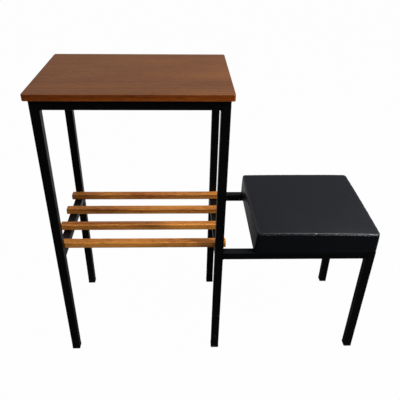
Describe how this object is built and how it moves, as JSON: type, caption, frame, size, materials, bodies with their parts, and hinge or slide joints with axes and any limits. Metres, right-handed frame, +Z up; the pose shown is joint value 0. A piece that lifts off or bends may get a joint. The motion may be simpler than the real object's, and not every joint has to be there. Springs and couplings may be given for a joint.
{
  "type": "telephone bench",
  "caption": "Telephone bench: a small teak-topped table with a slatted shelf and a low black padded seat beside it, on one black square-tube steel frame.",
  "frame": {"origin": "on the floor, under the middle of the bench's overall length and depth", "axes": "+X from the table to the seat along the bench, +Y from front to back, +Z up"},
  "size_m": [0.782, 0.3, 0.72],
  "materials": {
    "black_enamel": "satin black baked enamel on welded square steel tube",
    "glide_plastic": "moulded black polyethylene",
    "teak_veneer": "oiled straight-grained teak veneer, low sheen",
    "backing_veneer": "plain balancing veneer, unfinished",
    "chipboard": "three-layer chipboard, hidden",
    "teak_lipping": "solid teak edge, oiled, darker than the top",
    "teak_slat": "solid teak batten, rounded and oiled",
    "black_vinyl": "black upholstery vinyl with a fine grain, semi-gloss",
    "seat_foam": "polyurethane foam, hidden in the cover",
    "plywood": "birch plywood, unfinished",
    "zinc_steel": "bright zinc-plated steel"
  },
  "bodies": {
    "root": {"table_leg_front_left": "black_enamel", "table_leg_front_right": "black_enamel", "table_leg_back_left": "black_enamel", "table_leg_back_right": "black_enamel", "seat_leg_front": "black_enamel", "seat_leg_back": "black_enamel", "top_rail_front": "black_enamel", "top_rail_back": "black_enamel", "top_rail_left": "black_enamel", "top_rail_right": "black_enamel", "shelf_rail_left": "black_enamel", "shelf_rail_right": "black_enamel", "seat_rail_front": "black_enamel", "seat_rail_back": "black_enamel", "seat_rail_end": "black_enamel", "top_frame_welds": "black_enamel", "shelf_frame_welds": "black_enamel", "seat_frame_welds": "black_enamel", "table_glide_front_left": "glide_plastic", "table_glide_front_right": "glide_plastic", "table_glide_back_left": "glide_plastic", "table_glide_back_right": "glide_plastic", "seat_glide_front": "glide_plastic", "seat_glide_back": "glide_plastic", "top_face_veneer": "teak_veneer", "top_backing_veneer": "backing_veneer", "top_core_board": "chipboard", "top_lipping_front": "teak_lipping", "top_lipping_back": "teak_lipping", "top_lipping_left": "teak_lipping", "top_lipping_right": "teak_lipping", "shelf_slat_1": "teak_slat", "shelf_slat_2": "teak_slat", "shelf_slat_3": "teak_slat", "shelf_slat_4": "teak_slat", "seat_cover_band": "black_vinyl", "seat_cover_top": "black_vinyl", "seat_foam": "seat_foam", "seat_board": "plywood", "cover_staples": "zinc_steel", "top_screws": "zinc_steel", "slat_screws": "zinc_steel", "seat_screws": "zinc_steel"}
  },
  "joints": []
}
